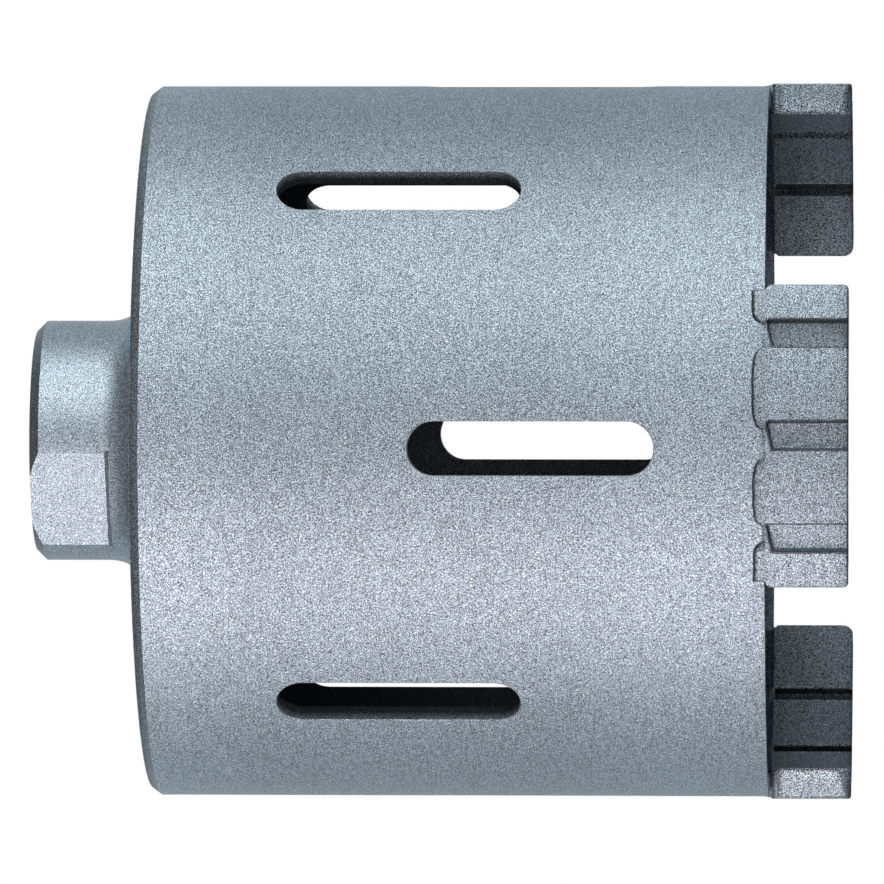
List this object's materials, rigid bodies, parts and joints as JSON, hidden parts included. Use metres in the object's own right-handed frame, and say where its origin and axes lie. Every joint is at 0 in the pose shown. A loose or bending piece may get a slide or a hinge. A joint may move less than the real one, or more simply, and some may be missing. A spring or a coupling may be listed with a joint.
{
  "type": "diamond core bit",
  "caption": "Slotted steel barrel with grooved diamond segments brazed on its rim and a threaded hub with wrench flats on its end plate.",
  "frame": {"origin": "on the drilling axis, in the plane of the segment tips that it stands on", "axes": "+Z along the drilling axis, from the cutting end to the hub; -Y faces the slot that looks at the camera"},
  "size_m": [0.0812, 0.0811, 0.0922],
  "materials": {
    "lacquered_steel": "satin metallic lacquer",
    "diamond_segment": "coarse lacquered sinter",
    "braze": "satin, lacquered over"
  },
  "bodies": {
    "root": {"barrel": "lacquered_steel", "hub_plate": "lacquered_steel", "segment_1": "diamond_segment", "segment_2": "diamond_segment", "segment_3": "diamond_segment", "braze_1": "braze", "braze_2": "braze", "braze_3": "braze"}
  },
  "joints": []
}
